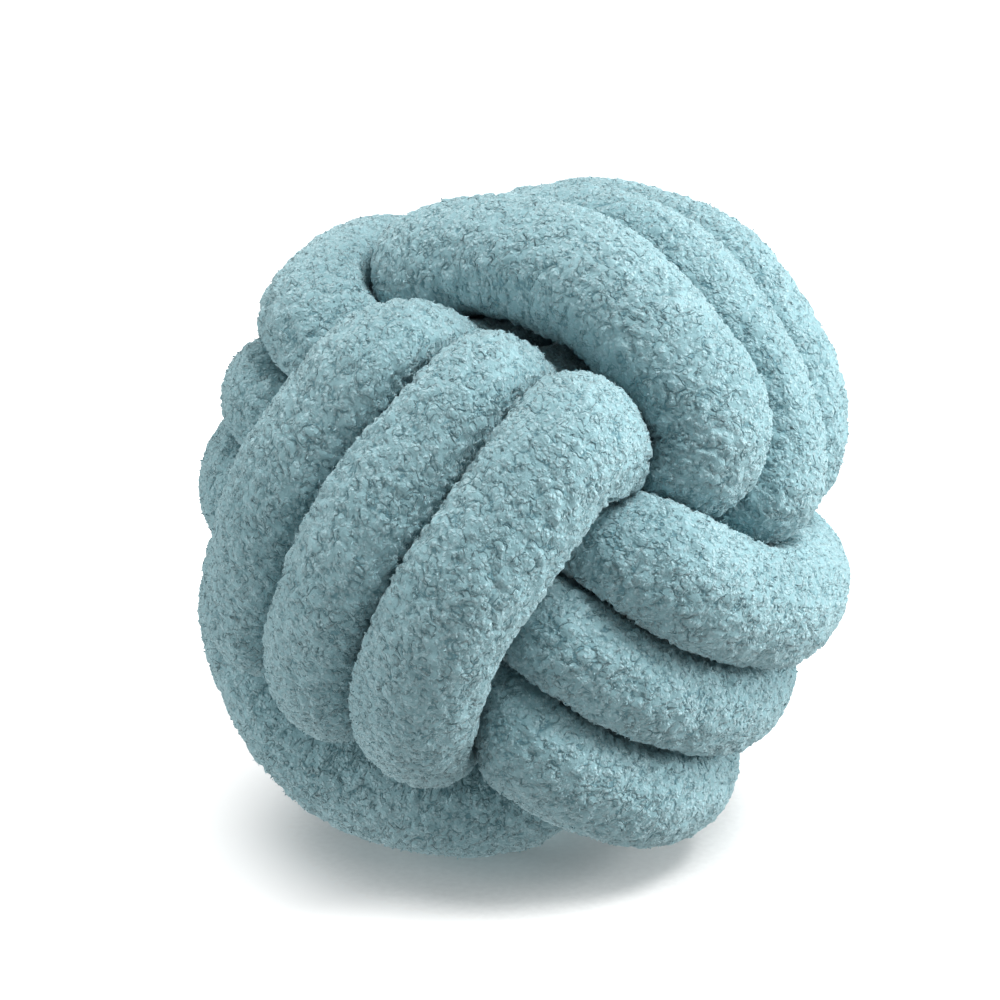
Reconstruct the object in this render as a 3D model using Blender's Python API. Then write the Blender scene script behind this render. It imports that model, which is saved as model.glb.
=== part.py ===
# Knot cushion: one long stuffed fleece tube tied in a ball. Three bands cross at right angles and each
# band has three turns lying side by side, so that every side of the ball shows three strands on top.
# Metres, +Z up. The cushion stands on the plane z = 0 with the middle of its box above the origin.
import math

import bpy
import numpy as np
from mathutils import Matrix

for old in list(bpy.data.objects):
    bpy.data.objects.remove(old, do_unlink=True)

# ---- driving sizes ---------------------------------------------------------------------------------
TUBE = 0.0500  # metres across the stuffed tube; every length of the knot below is counted in tubes
FREE_RADIUS = 0.508  # of the tube where nothing presses on it
CREASE_GAP = 0.032  # left open between two strands that press on each other
PRESS_CORNER = 10.0  # how sharply a pressed flat turns into the round of the tube
BULGE_SHARE = 0.8  # part of the filling pushed aside that comes out where the strand is free
BULGE_MOST = 1.12  # a strand never swells past this share of its free radius
PRESS_REACH = 2.4  # strands further apart than this don't press on each other
LINE_STEPS = 4  # steps of the tube's middle line to a ring, where a strand looks for its neighbours
OWN_STEPS = 3  # steps either way that belong to the strand's own round
LEAST_FACING = 1e-6  # a neighbour that lies less than this way round from a corner doesn't press it
SQUEEZE_ROUNDS = 2  # times the filling is shared out again after the strands have pressed
SMOOTHED = 6  # times the swelling and the outward side are smoothed along the tube
SINK = 0.0030  # metres the cushion sinks into the flat spots it rests on

# How the ball lies: its turns about the room's X, then Y, then Z axis, in degrees.
LIE_TURNS = (-27.80, -8.79, -119.79)

# Places of the section's corners round the tube, in degrees from the outward side, closer together
# on the outward half.
CORNERS = (-146, -104, -76, -52, -26, 0, 26, 52, 76, 104, 146)

# ---- the path of one turn ----------------------------------------------------------------------------
# A quarter of a turn, from the middle of a side of the ball to where the tube has gone under the
# crossing band: how far along in degrees, how far out from the middle of the ball, and the number of
# section rings from this row to the next.
QUARTER_TURN = (
    # along, out, rings
    (0.0, 2.27, 3),
    (22.0, 2.20, 3),
    (38.0, 2.12, 4),
    (50.0, 1.52, 2),
    (68.0, 1.28, 2),
    (90.0, 1.22, 3),
)
ALONG, OUT, RINGS = range(3)
REACH = 38.0  # usual angle at which a strand starts to turn in
DIVED = 50.0  # usual angle at which it has gone in
DRAWN = 68.0  # angle at which it has drawn in to the step of the strands underneath
UNDER = 90.0  # angle of the middle of the passage underneath
UNDER_STEP = 0.62  # sideways step between strands that pass underneath

# The eighteen strands on top, one row each. Place is the strand's row in its band. Side is how far it
# lies off the middle of the band and lift how far out it rides, at its low end, its middle and its high
# end. Reach is the angle in degrees at which each end turns in.
STRAND_COLUMNS = (
    ("side", "low"),
    ("side", "mid"),
    ("side", "high"),
    ("lift", "low"),
    ("lift", "mid"),
    ("lift", "high"),
    ("reach", "low"),
    ("reach", "high"),
)
STRANDS = {
    # (side of the ball, place): side low, mid, high, lift low, mid, high, reach low, high
    ("front", 1): (0.82, 0.83, 0.72, -0.18, 0.10, 0.12, 35, 38),
    ("front", 0): (0.04, 0.04, -0.01, -0.05, 0.09, 0.12, 38, 33),
    ("front", -1): (-0.76, -0.84, -0.66, -0.05, -0.15, 0.06, 37, 29),
    ("back", 1): (0.78, 0.88, 0.82, -0.10, -0.06, -0.08, 38, 40),
    ("back", 0): (0.02, -0.03, 0.01, -0.02, 0.03, -0.03, 39, 37),
    ("back", -1): (-0.82, -0.89, -0.77, -0.06, -0.09, -0.10, 37, 39),
    ("right", 1): (0.62, 0.74, 0.83, -0.05, -0.12, -0.25, 33, 34),
    ("right", 0): (-0.02, -0.13, 0.04, -0.10, -0.11, -0.30, 35, 43),
    ("right", -1): (-0.98, -0.98, -0.78, -0.20, -0.02, -0.22, 24, 41),
    ("left", 1): (0.94, 0.95, 0.74, 0.05, -0.11, -0.02, 38, 38),
    ("left", 0): (0.04, -0.13, 0.05, 0.04, -0.14, -0.03, 38, 36),
    ("left", -1): (-0.78, -0.78, -0.76, -0.12, -0.15, -0.19, 36, 36),
    ("top", 1): (0.79, 0.80, 0.64, -0.15, -0.06, -0.01, 44, 34),
    ("top", 0): (-0.18, 0.01, 0.01, 0.01, 0.06, -0.02, 34, 47),
    ("top", -1): (-1.11, -0.79, -0.71, 0.08, 0.09, -0.01, 38, 39),
    ("bottom", 1): (0.86, 1.08, 0.53, 0.00, -0.03, -0.03, 36, 41),
    ("bottom", 0): (0.22, -0.05, -0.05, 0.07, -0.03, 0.00, 35, 37),
    ("bottom", -1): (-0.76, -0.87, -0.77, -0.08, -0.12, -0.08, 40, 36),
}

# The three bands: the side of the ball where the band shows first, the opposite side, and the numbers
# of the knot's axes for the band's out, along and side directions.
BANDS = (
    # first, second, out, along, side
    ("front", "back", 0, 2, 1),
    ("right", "left", 1, 0, 2),
    ("top", "bottom", 2, 1, 0),
)
PLACES = (-1, 0, 1)  # of a band's first, second and third turn

# The way through the inside of the ball from the last turn of one band to the first of the next.
CROSSING = (
    # out, along, side
    (-0.75, -1.25, 0.54),
    (-0.43, -0.84, 0.57),
    (-0.65, -0.48, 0.39),
    (-1.12, -0.55, 0.70),
)

# ---- curly fleece --------------------------------------------------------------------------------
FLEECE_COLOUR = (0.280, 0.410, 0.440, 1.0)
FLEECE_ROUGHNESS = 0.95


def share_between(value, low, high):
    """How far a value has gone from low to high, kept from 0 to 1."""
    return min(max((value - low) / (high - low), 0.0), 1.0)


def along_strand(columns, name, angle):
    """A strand's side or lift at this angle, eased from its middle value to its end value."""
    end = "high" if angle > 0 else "low"
    middle = columns[name, "mid"]
    return middle + (columns[name, end] - middle) * share_between(abs(angle), 0.0, REACH) ** 2


def strand_station(strand, place, row, sign, axes, way):
    """Middle of the tube at one row of the quarter turn, on the low or high half of a strand."""
    out, along, side = axes
    usual = row[ALONG]
    columns = dict(zip(STRAND_COLUMNS, strand))
    later = columns["reach", "high" if sign > 0 else "low"] - REACH
    if usual <= REACH:
        angle = usual * (REACH + later) / REACH
    elif usual <= DIVED:
        angle = usual + later
    else:
        angle = UNDER - (UNDER - usual) * (UNDER - DIVED - later) / (UNDER - DIVED)
    turn = math.radians(sign * angle)
    lift = along_strand(columns, "lift", sign * usual) * (1.0 - share_between(usual, REACH, DIVED))
    drawn = share_between(usual, REACH, DRAWN)
    sideways = along_strand(columns, "side", sign * usual) * (1.0 - drawn) + UNDER_STEP * place * drawn
    radius = row[OUT] + lift
    return way * radius * math.cos(turn) * out + radius * math.sin(turn) * along + sideways * side


def strand_stations(face, place, axes, way, skipped):
    """The stations of one strand in the tube's own direction, as (point, row) pairs."""
    halves = [(row, -way) for row in reversed(QUARTER_TURN[1:-1])]
    halves += [(row, way) for row in QUARTER_TURN[:-1]]
    kept = halves[1:] if skipped == "start" else halves[:-1] if skipped == "end" else halves
    strand = STRANDS[face, place]
    return [(strand_station(strand, place, row, sign, axes, way), row) for row, sign in kept]


def knot_stations():
    """Stations down the middle of the whole closed tube, as (point, row) pairs."""
    under = QUARTER_TURN[-1]
    stations = []
    for first, second, *numbers in BANDS:
        axes = [np.eye(3)[number] for number in numbers]
        out, along, side = axes
        for place, following in zip(PLACES, PLACES[1:] + (None,)):
            skipped = "start" if place == PLACES[0] else None
            stations += strand_stations(first, place, axes, 1, skipped)
            stations.append((under[OUT] * along + UNDER_STEP * place * side, under))
            skipped = "end" if following is None else None
            stations += strand_stations(second, place, axes, -1, skipped)
            if following is not None:
                between = UNDER_STEP * (place + following) / 2
                stations.append((between * side - under[OUT] * along, under))
        stations += [(np.array(row) @ np.array(axes), under) for row in CROSSING]
    return stations


def ring_middles(stations, finer=1):
    """Middles of the section rings, or of finer steps, on a smooth closed curve through the stations."""
    points = np.array([point for point, _ in stations])
    rows = [row for _, row in stations]
    counts = finer * np.array([min(a, b)[RINGS] for a, b in zip(rows, rows[1:] + rows[:1])])
    number = np.repeat(np.arange(len(points)), counts)
    within = np.arange(len(number)) - np.repeat(np.cumsum(counts) - counts, counts)
    share = (within / counts[number])[:, None]
    p0, p1, p2, p3 = (points[(number + step) % len(points)] for step in (-1, 0, 1, 2))
    t1 = np.sqrt(np.linalg.norm(p1 - p0, axis=1))[:, None]
    t2 = t1 + np.sqrt(np.linalg.norm(p2 - p1, axis=1))[:, None]
    t3 = t2 + np.sqrt(np.linalg.norm(p3 - p2, axis=1))[:, None]
    t = t1 + (t2 - t1) * share
    a1 = p0 + (p1 - p0) * t / t1
    a2 = p1 + (p2 - p1) * (t - t1) / (t2 - t1)
    a3 = p2 + (p3 - p2) * (t - t2) / (t3 - t2)
    b1 = a1 + (a2 - a1) * t / t2
    b2 = a2 + (a3 - a2) * (t - t1) / (t3 - t1)
    return b1 + (b2 - b1) * (t - t1) / (t2 - t1)


def eased(values, times):
    """Values round the closed tube with their small steps smoothed out."""
    for _ in range(times):
        values = (np.roll(values, 1, 0) + 2 * values + np.roll(values, -1, 0)) / 4
    return values


def unit(vectors):
    return vectors / np.linalg.norm(vectors, axis=1)[:, None]


def corner_directions(middles):
    """Unit directions from each ring's middle to its corners, square to the tube."""
    ahead = unit(np.roll(middles, -1, 0) - np.roll(middles, 1, 0))
    outward = unit(middles)
    for _ in range(SMOOTHED):
        outward = eased(outward - (outward * ahead).sum(1)[:, None] * ahead, 1)
    outward = unit(outward - (outward * ahead).sum(1)[:, None] * ahead)
    across = np.cross(ahead, outward)
    turns = np.radians(CORNERS)
    return (
        np.cos(turns)[None, :, None] * outward[:, None, :]
        + np.sin(turns)[None, :, None] * across[:, None, :]
    )


def room_to_press(middles, directions, line):
    """How far each corner can go before it is nearer to another stretch of the tube than to its own."""
    count = len(line)
    room = np.full(directions.shape[:2], PRESS_REACH)
    numbers = np.arange(count)
    for ring, middle in enumerate(middles):
        apart = np.abs(numbers - ring * LINE_STEPS)
        others = line - middle
        squared = (others**2).sum(1)
        near = (np.minimum(apart, count - apart) > OWN_STEPS) & (squared < PRESS_REACH**2)
        facing = np.maximum(others[near] @ directions[ring].T, LEAST_FACING)
        room[ring] = (squared[near][:, None] / (2 * facing)).min(0)
    return np.minimum(room, PRESS_REACH) - CREASE_GAP / 2


def pressed_radii(room):
    """Radius at each corner: round where free, flat against its neighbours, swollen where squeezed."""
    turns = np.radians(CORNERS)
    wedge = np.sin(np.roll(turns, -1) - turns) / 2
    free = np.full((len(room), 1), FREE_RADIUS)
    full = (wedge * FREE_RADIUS**2).sum()
    for _ in range(SQUEEZE_ROUNDS):
        radii = (free**-PRESS_CORNER + room**-PRESS_CORNER) ** (-1 / PRESS_CORNER)
        area = (wedge * radii * np.roll(radii, -1, 1)).sum(1)
        swell = eased(np.clip(np.sqrt(full / area), 1.0, BULGE_MOST)[:, None], SMOOTHED)
        free = FREE_RADIUS * (1 + (swell - 1) * BULGE_SHARE)
    return (free**-PRESS_CORNER + room**-PRESS_CORNER) ** (-1 / PRESS_CORNER)


def laid_down(corners):
    """The ball turned the way it lies, sunk into its flat spots and set above the origin, in metres."""
    turn = Matrix.Identity(3)
    for angle, axis in zip(LIE_TURNS, "XYZ"):
        turn = Matrix.Rotation(math.radians(angle), 3, axis) @ turn
    placed = corners @ np.array(turn).T * TUBE
    low = placed.min((0, 1))
    high = placed.max((0, 1))
    placed -= ((low[0] + high[0]) / 2, (low[1] + high[1]) / 2, low[2] + SINK)
    placed[..., 2] = np.maximum(placed[..., 2], 0.0)
    return placed


def loft_round(name, corners):
    """A closed mesh through the rings of a tube whose end joins its start, with unlike sections."""
    rings, sides = corners.shape[:2]
    number = np.arange(rings * sides).reshape(rings, sides)
    beside = np.roll(number, -1, 1)
    ahead = np.roll(number, -1, 0)
    across = np.roll(beside, -1, 0)
    # every four-sided field between two rings is parted the same way
    halves = np.stack([number, beside, across, number, across, ahead], -1)
    mesh = bpy.data.meshes.new(name)
    mesh.from_pydata(corners.reshape(-1, 3).tolist(), [], halves.reshape(-1, 3).tolist())
    mesh.update()
    mesh.shade_smooth()
    return mesh


def curly_fleece():
    material = bpy.data.materials.new("curly_fleece")
    material.use_nodes = True
    shader = material.node_tree.nodes["Principled BSDF"]
    shader.inputs["Base Color"].default_value = FLEECE_COLOUR
    shader.inputs["Roughness"].default_value = FLEECE_ROUGHNESS
    shader.inputs["Metallic"].default_value = 0.0
    return material


stations = knot_stations()
middles = ring_middles(stations)
directions = corner_directions(middles)
room = room_to_press(middles, directions, ring_middles(stations, LINE_STEPS))
radii = pressed_radii(room)
corners = laid_down(middles[:, None, :] + radii[:, :, None] * directions)

tube_mesh = loft_round("knotted_tube", corners)
tube_mesh.materials.append(curly_fleece())
knotted_tube = bpy.data.objects.new("knotted_tube", tube_mesh)
cushion = bpy.data.collections.new("knot_cushion")
bpy.context.scene.collection.children.link(cushion)
cushion.objects.link(knotted_tube)
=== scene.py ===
import math

import bpy
import numpy as np
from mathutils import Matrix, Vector, noise


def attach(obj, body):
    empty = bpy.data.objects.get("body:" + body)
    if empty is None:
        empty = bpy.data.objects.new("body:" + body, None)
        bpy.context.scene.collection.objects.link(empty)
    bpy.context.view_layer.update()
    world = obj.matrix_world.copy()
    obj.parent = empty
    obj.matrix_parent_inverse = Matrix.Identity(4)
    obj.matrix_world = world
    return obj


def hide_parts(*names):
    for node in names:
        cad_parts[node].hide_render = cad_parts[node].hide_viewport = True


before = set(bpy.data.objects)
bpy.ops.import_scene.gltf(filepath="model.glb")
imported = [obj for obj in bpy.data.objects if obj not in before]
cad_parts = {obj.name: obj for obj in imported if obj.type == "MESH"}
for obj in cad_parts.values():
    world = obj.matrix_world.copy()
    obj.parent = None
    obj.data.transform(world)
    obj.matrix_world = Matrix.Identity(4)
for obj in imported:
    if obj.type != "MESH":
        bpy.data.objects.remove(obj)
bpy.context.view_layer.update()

# ==================================================================================================
# The knotted tube
# One long tube of curly fleece, sewn along its length, stuffed hard and tied in a ball of three
# bands with three turns each. It is dressed strand by strand: each strand on top of the ball is one
# piece, which runs on into the hidden passages at its ends and meets the next piece there.
# ==================================================================================================
WELD = 0.00001  # corners of the solid's facets nearer than this are one corner
EDGES_AT_CORNER = 6  # of the solid's mesh, so the one halfway round them goes straight on
STRAIGHT_ON = EDGES_AT_CORNER // 2
KNOT_MIDDLE = np.array((-0.00031, 0.0033, 0.13293))  # where the middles of the three bands cross
FINE_STEP = 0.00135  # between the points of the fine surface where it shows
HIDDEN_STEP = 0.0040  # and where it doesn't
SHOWN_FROM = 0.105  # a ring shows if it comes further than this from the middle of the ball
SHOWN_HALF = 88.0  # degrees either way of the tube's outward side that show


def corners_of_rings(node):
    """Corners of the tube's rings as an array of rings by sides.

    They are found by walking straight on from edge to edge of the solid's mesh: the walk that comes
    back soonest goes once round the tube, and the next soonest goes once along it.
    """
    mesh = node.data
    points = np.empty(len(mesh.vertices) * 3)
    mesh.vertices.foreach_get("co", points)
    points = points.reshape(-1, 3)
    welded, number = np.unique(np.round(points / WELD), axis=0, return_inverse=True)
    corners = np.empty(welded.shape)
    corners[number.reshape(-1)] = points
    mesh.calc_loop_triangles()
    beside = {}
    for triangle in mesh.loop_triangles:
        a, b, c = (int(number.reshape(-1)[vertex]) for vertex in triangle.vertices)
        beside[a, b] = c
        beside[b, c] = a
        beside[c, a] = b

    def turned(at, toward, steps):
        """The corner reached from this one after turning so many edges round it."""
        for _ in range(steps):
            toward = beside[at, toward]
        return toward

    def walk(start, toward):
        """The corners on the way straight on from the start until it is back there."""
        loop = [start]
        last = start
        while toward != start:
            loop.append(toward)
            last, toward = toward, turned(toward, last, STRAIGHT_ON)
        return loop

    first = next(b for a, b in beside if a == 0)
    walks = (walk(0, turned(0, first, step)) for step in range(STRAIGHT_ON))
    ring, along = sorted(walks, key=len)[:2]
    quarter = next(
        step for step in range(EDGES_AT_CORNER) if turned(0, ring[1], step) == along[1]
    )
    rings = [ring]
    for _ in along[1:]:
        last = rings[-1]
        pairs = zip(last, last[1:] + last[:1])
        rings.append([turned(at, ahead, quarter) for at, ahead in pairs])
    return corners[np.array(rings)]


def lengths(vectors):
    """Lengths of an array of vectors."""
    return np.linalg.norm(vectors, axis=-1)


def drawn_through(rows, gaps, steps):
    """Points of a smooth closed curve through rows this far apart, in so many steps each."""
    number = np.repeat(np.arange(len(rows)), steps)
    share = (np.arange(len(number)) - np.repeat(np.cumsum(steps) - steps, steps)) / steps[number]
    as_rows = (-1,) + (1,) * (rows.ndim - 1)
    gap = gaps.reshape(as_rows)
    before = np.roll(gap, 1, 0)
    slope = (np.roll(rows, -1, 0) - rows) / gap
    tangent = (slope * before + np.roll(slope, 1, 0) * gap) / (gap + before)
    s = share.reshape(as_rows)
    there = (number + 1) % len(rows)
    return (
        rows[number] * (1 + 2 * s) * (1 - s) ** 2
        + rows[there] * s**2 * (3 - 2 * s)
        + tangent[number] * gap[number] * s * (1 - s) ** 2
        - tangent[there] * gap[number] * s**2 * (1 - s)
    )


corners = corners_of_rings(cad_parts["knotted_tube"])
depth = lengths(corners.mean(1) - KNOT_MIDDLE)
corners = np.roll(corners, -int(depth.argmin()), axis=0)
corners = np.roll(corners, -int(lengths(corners - KNOT_MIDDLE).mean(0).argmax()), axis=1)

along_gaps = lengths(np.roll(corners, -1, 0) - corners).max(1)
round_gaps = lengths(np.roll(corners, -1, 1) - corners).mean(0)
turn = (np.cumsum(round_gaps) - round_gaps / 2) / round_gaps.sum() * 360.0
faces_out = np.minimum(turn, 360.0 - turn) < SHOWN_HALF
reach = lengths(corners - KNOT_MIDDLE).max(1)
on_top = np.minimum(reach, np.roll(reach, -1)) > SHOWN_FROM
along_steps = np.ceil(along_gaps / np.where(on_top, FINE_STEP, HIDDEN_STEP)).astype(int)
round_steps = np.ceil(round_gaps / np.where(faces_out, FINE_STEP, HIDDEN_STEP)).astype(int)
surface = drawn_through(corners.swapaxes(0, 1), round_gaps, round_steps).swapaxes(0, 1)
surface = drawn_through(surface, along_gaps, along_steps)
ahead = np.roll(surface, -1, 0) - np.roll(surface, 1, 0)
across = np.roll(surface, -1, 1) - np.roll(surface, 1, 1)
outward = np.cross(ahead, across)
outward /= lengths(outward)[..., None]
if (outward * (surface - surface.mean(1)[:, None])).sum() < 0:
    outward = -outward

# Height of the pile. It is 3 mm of short curls, felted together in clumps. Two families of cracks
# part the clumps, each where a slowly varying value is 0, and the material draws the same cracks
# sharply, with a bump and with painted shade in them.
CLUMP = 0.0056  # between one crack of a family and the next
SECOND_CLUMP = 0.0047  # the same for the other family
CLUMP_HEIGHT = 0.0014  # from a crack to the top of the clump beside it
CRACK_SINK = 0.6  # part of that height that lies below the solid's surface
CRACK_SHARE = 0.28  # how far from 0 the value is when the slope of a crack ends
SWIRL = 0.0032  # between one twist in a crack and the next
SWIRL_SHARE = 0.45  # how far a crack twists, in clumps
GRAIN = 0.0026  # across a small tuft
GRAIN_HEIGHT = 0.0005  # that a tuft stands up or lies down at most, as with the next two
LUMP = 0.012  # across a lump of clumps
LUMP_HEIGHT = 0.0006
SLACK = 0.045  # across the slow unevenness of the stuffing
SLACK_HEIGHT = 0.0014
OTHER_PLACE = Vector((7.3, 1.9, 4.1))  # keeps the second family of cracks away from the first
FLOOR_CLEAR = 0.0002  # no pile comes nearer to the floor than this
SWIRL_SEED = 7  # picks the twists of the cracks, so that they are the same in every run


def pile_at(point):
    """Height of the pile over the cloth in metres, and the two values that are 0 in a crack."""
    place = Vector(point)
    swirl = noise.noise_vector(place / SWIRL) * SWIRL_SHARE
    first = noise.noise(place / CLUMP + swirl)
    second = noise.noise(place / SECOND_CLUMP + swirl + OTHER_PLACE)
    up = min(abs(first), abs(second), CRACK_SHARE) / CRACK_SHARE
    height = CLUMP_HEIGHT * (up * up * (3.0 - 2.0 * up) - CRACK_SINK)
    height += GRAIN_HEIGHT * noise.noise(place / GRAIN)
    height += LUMP_HEIGHT * noise.noise(place / LUMP)
    height += SLACK_HEIGHT * noise.noise(place / SLACK)
    return height, first, second


noise.seed_set(SWIRL_SEED)
pile = np.array([pile_at(point) for point in surface.reshape(-1, 3).tolist()])
pile = pile.reshape(surface.shape)
raised = surface + outward * pile[..., :1]
crack_values = pile[..., 1:]

# Single curls that stand out of the pile, and a strand with its share of them.
CURLS = 96000
CURL_LENGTH = 0.0017  # along a curl of the usual length
CURL_LENGTHS = (0.5, 1.1)  # the shortest and the longest curl, in usual lengths
CURL_WIDTH = 0.00021  # from the middle line of a curl of the usual width to its edge
CURL_WIDTHS = (0.7, 1.3)  # the thinnest and the widest curl, in usual widths
CURL_LEAN = (0.45, 1.35)  # radians that a curl leans over, at the least and at the most
CURL_BEND = (0.3, 1.1)  # radians that its tip leans further
CURL_FOOT, CURL_TIP = 0.6, 0.4  # parts of its length before and after the bend
CURL_ROOT = 0.0003  # how deep a curl starts
CURL_ASIDE = 0.5  # how far a root lies off a point of the fine surface, in that surface's steps
CURL_POINTS = 5
CURL_QUAD, CURL_TRIANGLE = (0, 1, 2, 3), (3, 2, 4)  # the points of its foot and of its tip
NO_CRACK = 2.0  # the crack values that a curl has, more than any crack's


def standing_curls(roots, up, along, number, seed):
    """Short curls rooted at these points, as curls by points: strips that bend over to a tip."""
    random = np.random.default_rng(seed)
    pick = random.integers(0, len(roots), number)
    out = up[pick]
    side = np.cross(out, along[pick])
    side /= lengths(side)[:, None]
    ahead_way = np.cross(side, out)
    spin = random.uniform(0, 2 * np.pi, (number, 1))
    lean_way = ahead_way * np.cos(spin) + side * np.sin(spin)
    width_way = side * np.cos(spin) - ahead_way * np.sin(spin)
    lean = random.uniform(*CURL_LEAN, (number, 1))
    bend = lean + random.uniform(*CURL_BEND, (number, 1))
    length = CURL_LENGTH * random.uniform(*CURL_LENGTHS, (number, 1))
    wide = width_way * CURL_WIDTH * random.uniform(*CURL_WIDTHS, (number, 1))
    aside = random.uniform(-CURL_ASIDE, CURL_ASIDE, (2, number, 1)) * FINE_STEP
    root = roots[pick] + ahead_way * aside[0] + side * aside[1] - out * CURL_ROOT
    middle = root + (out * np.cos(lean) + lean_way * np.sin(lean)) * length * CURL_FOOT
    tip = middle + (out * np.cos(bend) + lean_way * np.sin(bend)) * length * CURL_TIP
    return np.stack([root - wide, root + wide, middle + wide, middle - wide, tip], 1), pick


def strand_piece(name, rows, shown, curls, seed):
    """A strand as an open tube of quads with single curls on it and a flat chart of its cloth.

    The rows hold its points, crack values, outward ways and ways ahead, as rings by sides.
    """
    points, cracks, out, along = rows
    rings, sides = points.shape[:2]
    number = np.arange(rings * sides).reshape(rings, sides)
    beside = np.roll(number, -1, 1)
    quads = np.stack([number[:-1], beside[:-1], beside[1:], number[1:]], -1).reshape(-1, 4)
    column = np.tile(np.arange(sides), rings - 1)[:, None] + np.array((0, 1, 1, 0))
    chart = np.stack([(quads // sides) / (rings - 1), column / sides], -1).reshape(-1, 2)
    where = number[shown]
    points, out, along = (row.reshape(-1, 3) for row in (points, out, along))
    hairs, pick = standing_curls(points[where], out[where], along[where], curls, seed)
    first = rings * sides + np.arange(curls)[:, None] * CURL_POINTS
    hair_quads = first + np.array(CURL_QUAD)
    hair_tips = first + np.array(CURL_TRIANGLE)
    root = where[pick]
    root_chart = np.stack([(root // sides) / (rings - 1), (root % sides) / sides], -1)
    loops = np.concatenate([quads.ravel(), hair_quads.ravel(), hair_tips.ravel()])
    all_quads = len(quads) + curls
    starts = np.concatenate([np.arange(all_quads) * 4, all_quads * 4 + np.arange(curls) * 3])
    uv = np.concatenate([chart, np.repeat(root_chart, 4, 0), np.repeat(root_chart, 3, 0)])
    everything = np.concatenate([points, hairs.reshape(-1, 3)])
    everything[:, 2] = np.maximum(everything[:, 2], FLOOR_CLEAR)
    mesh = bpy.data.meshes.new(name)
    mesh.vertices.add(len(everything))
    mesh.vertices.foreach_set("co", everything.ravel())
    mesh.loops.add(len(loops))
    mesh.loops.foreach_set("vertex_index", loops)
    mesh.polygons.add(len(starts))
    mesh.polygons.foreach_set("loop_start", starts)
    mesh.update(calc_edges=True)
    mesh.shade_smooth()
    for place, attribute in enumerate(("first_cracks", "second_cracks")):
        on_curls = np.full(curls * CURL_POINTS, NO_CRACK)
        values = np.concatenate([cracks[..., place].ravel(), on_curls])
        mesh.attributes.new(attribute, "FLOAT", "POINT").data.foreach_set("value", values)
    mesh.uv_layers.new(name="OFBake").data.foreach_set("uv", uv.ravel())
    piece = bpy.data.objects.new(name, mesh)
    bpy.context.scene.collection.objects.link(piece)
    return piece


def colour(code):
    """A colour given as sRGB hex, as the linear values that a shader takes."""
    parts = [int(code[place : place + 2], 16) / 255 for place in (0, 2, 4)]
    linear = [
        part / 12.92 if part <= 0.04045 else ((part + 0.055) / 1.055) ** 2.4 for part in parts
    ]
    return linear + [1.0]


def scale_of(size_mm):
    """The Scale of a texture whose pattern is this many millimetres across."""
    return 1000.0 / size_mm


def add_node(tree, kind, settings=(), values=(), links=()):
    """A shader node with its settings, its input values and the outputs linked to its inputs."""
    node = tree.nodes.new(kind)
    for name, value in dict(settings).items():
        setattr(node, name, value)
    for name, value in dict(values).items():
        node.inputs[name].default_value = value
    for name, output in dict(links).items():
        tree.links.new(output, node.inputs[name])
    return node


def ramp(tree, factor, stops):
    """The colour of a ramp with these stops, each a place and a colour."""
    node = add_node(tree, "ShaderNodeValToRGB", links={"Fac": factor})
    elements = node.color_ramp.elements
    while len(elements) < len(stops):
        elements.new(1.0)
    for element, (place, code) in zip(elements, stops):
        element.position = place
        element.color = colour(code)
    return node.outputs["Color"]


def maths(tree, operation, first, second=None, third=None):
    """The result of a sum on outputs and plain numbers."""
    node = add_node(tree, "ShaderNodeMath", {"operation": operation})
    for place, value in enumerate((first, second, third)):
        if isinstance(value, (int, float)):
            node.inputs[place].default_value = value
        elif value is not None:
            tree.links.new(value, node.inputs[place])
    return node.outputs[0]


def vector_maths(tree, operation, values, links):
    """The outputs of a sum on vectors, where a plain number stands for all three parts."""
    values = {place: (value,) * 3 for place, value in values.items()}
    return add_node(tree, "ShaderNodeVectorMath", {"operation": operation}, values, links).outputs


def smooth_step(tree, value, low, high):
    """A value that goes from 0 to 1 as this one goes from low to high."""
    values = {"From Min": low, "From Max": high}
    kind = {"interpolation_type": "SMOOTHSTEP"}
    return add_node(tree, "ShaderNodeMapRange", kind, values, {"Value": value}).outputs["Result"]


def noise_at(tree, place, size_mm, **values):
    """The outputs of a noise texture whose pattern is this many millimetres across."""
    values["Scale"] = scale_of(size_mm)
    return add_node(tree, "ShaderNodeTexNoise", (), values, {"Vector": place}).outputs


# Warp-knitted polyester fleece in one pale blue-green dye, its pile raised, curled by heat and
# brushed. The eye gets matt crumbs of curls with thin dark cracks between, some felted shut, and a
# pale bloom at the rim. Its colour holds painted shade in the cracks and towards the edges of the
# curls, and a painted highlight on the curls that stand out.
CRACK_WIDTH = (0.0, 0.13)  # crack values where a crack starts to close and is closed
PILE_NOISE = {"Detail": 2.0, "Roughness": 0.6}
NOISE_MIDDLE = 0.5  # of a noise's values, which reach this far either way of it
FELT_MM = 5.5  # across a patch where the cracks are felted shut
FELT_RANGE = (0.44, 0.55)  # values of that noise where the felt starts and is full
CRUMB_MM = 1.9  # across one curl seen from above
CRUMB_EDGE, CRUMB_TOP = 0.62, 0.12  # how far from its middle a curl ends, and is highest, in curls
CRUMB_TWIST_MM = 1.6  # across one twist in the outline of a curl
CRUMB_TWIST = 0.0009  # how far the outline is moved by it, in metres
FIBRE_MM = 0.9  # across a few fibres that lie together
CRACK_RISE, CRUMB_RISE, FIBRE_RISE = 0.0006, 0.0005, 0.0003  # metres that each one stands up
CRACK_PAINTED_SHADE, CRUMB_PAINTED_SHADE, FIBRE_TONE = 0.34, 0.34, 0.32  # share of each in the way to the palest: painted shade in the cracks and at curl edges, random fibre grain
CURL_PAINTED_HIGHLIGHT = 0.10  # painted highlight: a curl that stands out is drawn this much paler
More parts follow.
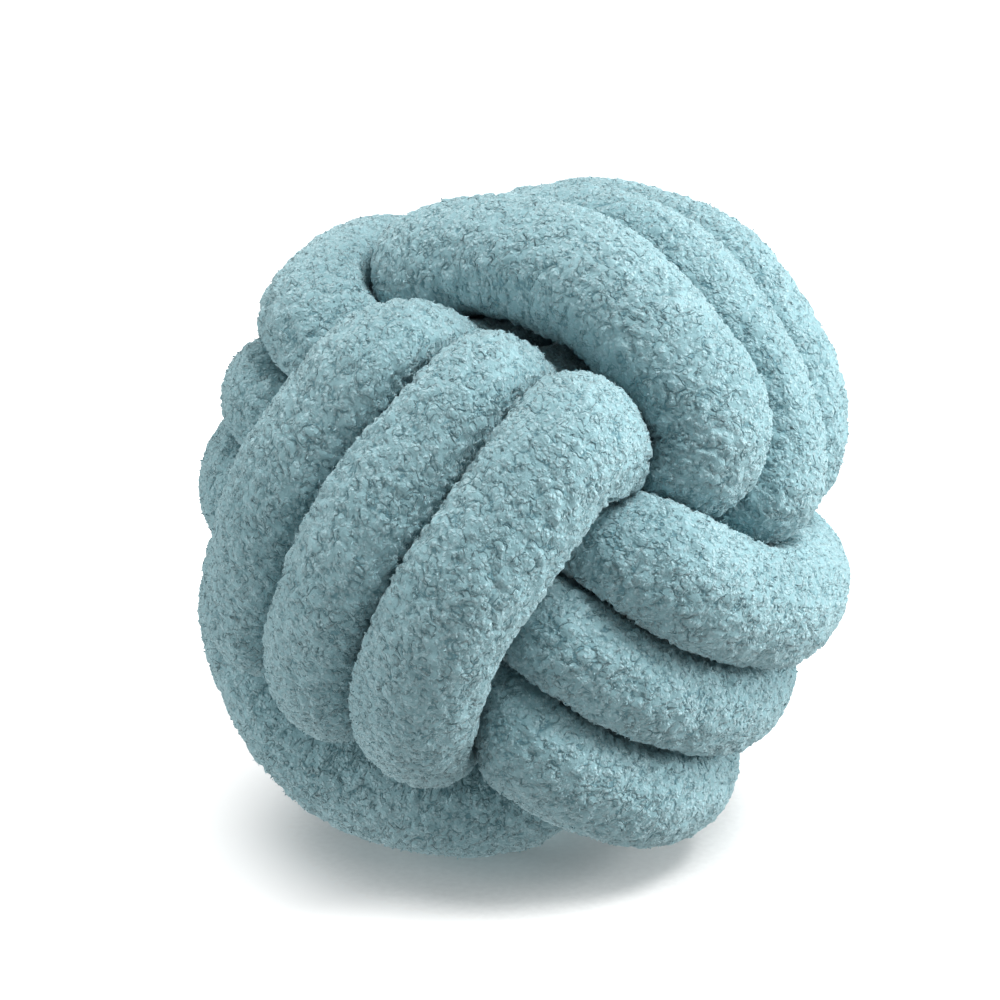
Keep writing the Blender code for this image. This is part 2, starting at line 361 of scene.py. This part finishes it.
# From painted shade deep in a crack, through the fleece's own blue-green, to a painted highlight on
# the tops.
FLEECE_COLOUR_AND_PAINTED_SHADE = [(0.12, "608993"), (0.48, "8fb3ba"), (0.75, "a6c6cd"), (1.0, "bad8de")]
DYE_MM = 38.0  # across a patch where the dye took a little less
DYE_DETAIL = 3.0
DYE_TONES = [(0.3, "eaf0f1"), (0.7, "ffffff")]
FLEECE_ROUGHNESS = 1.0
FLEECE_SHINE = 0.1
SHEEN, SHEEN_ROUGHNESS, SHEEN_TONE = 0.8, 0.5, "cfe8ec"  # the pale bloom of fibre tips
fleece = bpy.data.materials.new("warp_knit_polyester_curly_fleece")
fleece.use_nodes = True
tree = fleece.node_tree
shader = tree.nodes["Principled BSDF"]
place = add_node(tree, "ShaderNodeTexCoord").outputs["Object"]
from_each = []
for attribute in ("first_cracks", "second_cracks"):
    value = add_node(tree, "ShaderNodeAttribute", {"attribute_name": attribute}).outputs["Fac"]
    from_each.append(maths(tree, "ABSOLUTE", value))
from_crack = maths(tree, "MINIMUM", *from_each)
open_crack = smooth_step(tree, from_crack, *CRACK_WIDTH)
on_curl = maths(tree, "GREATER_THAN", from_crack, (1.0 + NO_CRACK) / 2)
felted = smooth_step(tree, noise_at(tree, place, FELT_MM, **PILE_NOISE)["Fac"], *FELT_RANGE)
clump = maths(tree, "MAXIMUM", open_crack, felted)
twist = noise_at(tree, place, CRUMB_TWIST_MM)["Color"]
twist = vector_maths(tree, "SUBTRACT", {1: NOISE_MIDDLE}, {0: twist})["Vector"]
per_twist = {1: CRUMB_TWIST / NOISE_MIDDLE}
twisted = vector_maths(tree, "MULTIPLY_ADD", per_twist, {0: twist, 2: place})["Vector"]
cells = ("ShaderNodeTexVoronoi", {"feature": "F1"}, {"Scale": scale_of(CRUMB_MM)})
from_middle = add_node(tree, *cells, {"Vector": twisted}).outputs["Distance"]
crumb = smooth_step(tree, from_middle, CRUMB_EDGE, CRUMB_TOP)
fibre = noise_at(tree, place, FIBRE_MM, **PILE_NOISE)["Fac"]


def weighed(crack_share, crumb_share, fibre_share):
    """The sum of the clumps between cracks, the crumbs and the fibres, each times its share."""
    clumps = maths(tree, "MULTIPLY", clump, crack_share)
    clumps_and_crumbs = maths(tree, "MULTIPLY_ADD", crumb, crumb_share, clumps)
    return maths(tree, "MULTIPLY_ADD", fibre, fibre_share, clumps_and_crumbs)


# The base colour: painted shade in the cracks and at the edges of the curls, a painted highlight on
# the curls that stand out, random fibre grain, and patches where the dye took less.
painted_shade_and_grain = weighed(CRACK_PAINTED_SHADE, CRUMB_PAINTED_SHADE, FIBRE_TONE)
painted_shade_and_grain = ramp(tree, maths(tree, "MULTIPLY_ADD", on_curl, CURL_PAINTED_HIGHLIGHT, painted_shade_and_grain), FLEECE_COLOUR_AND_PAINTED_SHADE)
dye = ramp(tree, noise_at(tree, place, DYE_MM, Detail=DYE_DETAIL)["Fac"], DYE_TONES)
# Input 0 of the mix is its factor, 6 and 7 are its two colours, and output 2 is the mixed one.
multiply = {"data_type": "RGBA", "blend_type": "MULTIPLY"}
shaded_and_dyed = add_node(tree, "ShaderNodeMix", multiply, {0: 1.0}, {6: painted_shade_and_grain, 7: dye}).outputs[2]
tree.links.new(shaded_and_dyed, shader.inputs["Base Color"])
height = weighed(CRACK_RISE, CRUMB_RISE, FIBRE_RISE)
in_metres = {"Strength": 1.0, "Distance": 1.0}
bump = add_node(tree, "ShaderNodeBump", (), in_metres, {"Height": height})
tree.links.new(bump.outputs["Normal"], shader.inputs["Normal"])
shader.inputs["Roughness"].default_value = FLEECE_ROUGHNESS
shader.inputs["Specular IOR Level"].default_value = FLEECE_SHINE
shader.inputs["Sheen Weight"].default_value = SHEEN
shader.inputs["Sheen Roughness"].default_value = SHEEN_ROUGHNESS
shader.inputs["Sheen Tint"].default_value = colour(SHEEN_TONE)

# A strand starts halfway between the ring where the last one went under and the ring where it
# comes up.
comes_up = np.append(np.flatnonzero(on_top & ~np.roll(on_top, 1)), len(on_top))
goes_under = np.flatnonzero(~on_top & np.roll(on_top, 1))[:-1]
halfway = [int(round((under + comes_up[comes_up > under][0]) / 2)) for under in goes_under]
starts = np.concatenate([[0], np.cumsum(along_steps)])[[0] + halfway]
ends = np.append(starts[1:], len(raised))
shown = np.repeat(on_top, along_steps)[:, None] & np.repeat(faces_out, round_steps)
curls_each = CURLS / shown.sum()
rows_of_all = (raised, crack_values, outward, ahead, shown)
*rows_of_all, shown = (np.concatenate([rows, rows[:1]]) for rows in rows_of_all)
for number, (first, last) in enumerate(zip(starts, ends), 1):
    own = slice(first, last + 1)
    curls = int(shown[own].sum() * curls_each)
    rows = [rows[own] for rows in rows_of_all]
    piece = strand_piece(f"strand_{number:02d}", rows, shown[own], curls, number)
    piece.data.materials.append(fleece)
    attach(piece, "root")
    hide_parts("knotted_tube")

# ==================================================================================================
# The floor
# A wide sheet of matt white paper that the cushion rests on. It gives off painted light: little
# under the ball, as a painted shadow round it, and more further away, so that it stays white to the
# end of the sheet.
# ==================================================================================================
FLOOR_SIDE = 60.0
PAINTED_GLOW_UNDER_BALL = 0.02  # painted light given off under the ball, so little that it reads as painted shadow
PAINTED_GLOW_RISES = [(0.07, 0.16, 0.74), (0.25, 0.9, 0.26)]  # metres from the ball where a rise of the painted light starts and ends, and the rise
PAPER_MM = 3.0  # across a fleck of the paper
PAPER_DETAIL = 2.0
PAPER_TONES = [(0.3, "e4e3e2"), (0.7, "eae9e8")]
PAPER_ROUGHNESS = 0.9
PAPER_SHINE = 0.1
paper = bpy.data.materials.new("matt_white_paper")
paper.use_nodes = True
tree = paper.node_tree
shader = tree.nodes["Principled BSDF"]
place = add_node(tree, "ShaderNodeTexCoord").outputs["Object"]
fleck = noise_at(tree, place, PAPER_MM, Detail=PAPER_DETAIL)["Fac"]
tree.links.new(ramp(tree, fleck, PAPER_TONES), shader.inputs["Base Color"])
from_ball = vector_maths(tree, "LENGTH", {}, {0: place})["Value"]
painted_floor_glow = PAINTED_GLOW_UNDER_BALL
for start, end, rise in PAINTED_GLOW_RISES:
    painted_floor_glow = maths(tree, "MULTIPLY_ADD", smooth_step(tree, from_ball, start, end), rise, painted_floor_glow)
# The floor gives off this painted light: a painted shadow under the ball, white further out.
tree.links.new(painted_floor_glow, shader.inputs["Emission Strength"])
shader.inputs["Emission Color"].default_value = colour("ffffff")
shader.inputs["Roughness"].default_value = PAPER_ROUGHNESS
shader.inputs["Specular IOR Level"].default_value = PAPER_SHINE
bpy.ops.mesh.primitive_plane_add(size=FLOOR_SIDE, location=(0, 0, 0))
floor = bpy.context.object
floor.name = "floor"
floor.data.materials.append(paper)
floor.visible_diffuse = False

# ==================================================================================================
# Light
# Plain soft studio light. Round lamps stand high on the right, low beside it and weak in front on
# that side, two low ones on the left and a weak one high behind it. An even light comes from all
# round, weak from above and stronger from below, where the white floor shines.
# ==================================================================================================
LAMP_AWAY = 1.6  # from the middle of the ball
LAMP_SIZE = 0.8  # across a lamp
LAMPS = [  # name, degrees above the floor, degrees round from the camera to the right, watts
    ("high_right", 60, 60, 25.0),
    ("low_right", 10, 90, 23.0),
    ("front_right", 35, 45, 3.5),
    ("low_left", 10, 270, 11.0),
    ("low_front", 10, 315, 2.8),
    ("high_back", 60, 240, 5.0),
]
LIGHT_ABOVE, LIGHT_BELOW = 0.2, 0.67
HORIZON = 0.15  # how far above and below the horizon the two lights blend


def toward_lamp(above, around):
    """The way from the ball to a lamp, from its degrees above the floor and round the ball."""
    above, around = math.radians(above), math.radians(around)
    flat = math.cos(above)
    return Vector((flat * math.sin(around), -flat * math.cos(around), math.sin(above)))


for name, above, around, watts in LAMPS:
    lamp = bpy.data.lights.new(name, "AREA")
    lamp.shape = "DISK"
    lamp.size = LAMP_SIZE
    lamp.energy = watts
    holder = bpy.data.objects.new(name, lamp)
    bpy.context.scene.collection.objects.link(holder)
    way = toward_lamp(above, around)
    holder.location = Vector(KNOT_MIDDLE) + way * LAMP_AWAY
    holder.rotation_euler = way.to_track_quat("Z", "Y").to_euler()

studio = bpy.data.worlds.new("studio")
bpy.context.scene.world = studio
studio.use_nodes = True
tree = studio.node_tree
toward = add_node(tree, "ShaderNodeTexCoord").outputs["Generated"]
height = add_node(tree, "ShaderNodeSeparateXYZ", links={0: toward}).outputs["Z"]
below = smooth_step(tree, height, HORIZON, -HORIZON)
strength = maths(tree, "MULTIPLY_ADD", below, LIGHT_BELOW - LIGHT_ABOVE, LIGHT_ABOVE)
seen = add_node(tree, "ShaderNodeLightPath").outputs["Is Camera Ray"]  # seen itself, it is white
background = tree.nodes["Background"]
tree.links.new(maths(tree, "MAXIMUM", strength, seen), background.inputs["Strength"])
background.inputs["Color"].default_value = colour("ffffff")

# ==================================================================================================
# Camera
# At the photograph's angle: straight in front, a little above the middle of the ball and looking
# at it, with the picture shifted a little to where the ball lies in the photograph.
# ==================================================================================================
CAMERA_RISE = math.radians(17.0)
CAMERA_AWAY = 0.9017  # from the middle of the ball
LENS_MM = 78.3
SENSOR_MM = 36.0
LENS_SHIFT = (-0.02025, 0.01639)
camera_data = bpy.data.cameras.new("camera")
camera_data.lens = LENS_MM
camera_data.sensor_width = SENSOR_MM
camera_data.shift_x, camera_data.shift_y = LENS_SHIFT
camera = bpy.data.objects.new("camera", camera_data)
bpy.context.scene.collection.objects.link(camera)
back = Vector((0.0, -math.cos(CAMERA_RISE), math.sin(CAMERA_RISE)))
camera.location = Vector(KNOT_MIDDLE) + back * CAMERA_AWAY
camera.rotation_euler = (-back).to_track_quat("-Z", "Y").to_euler()
bpy.context.scene.camera = camera
bpy.context.scene.view_settings.view_transform = "Standard"
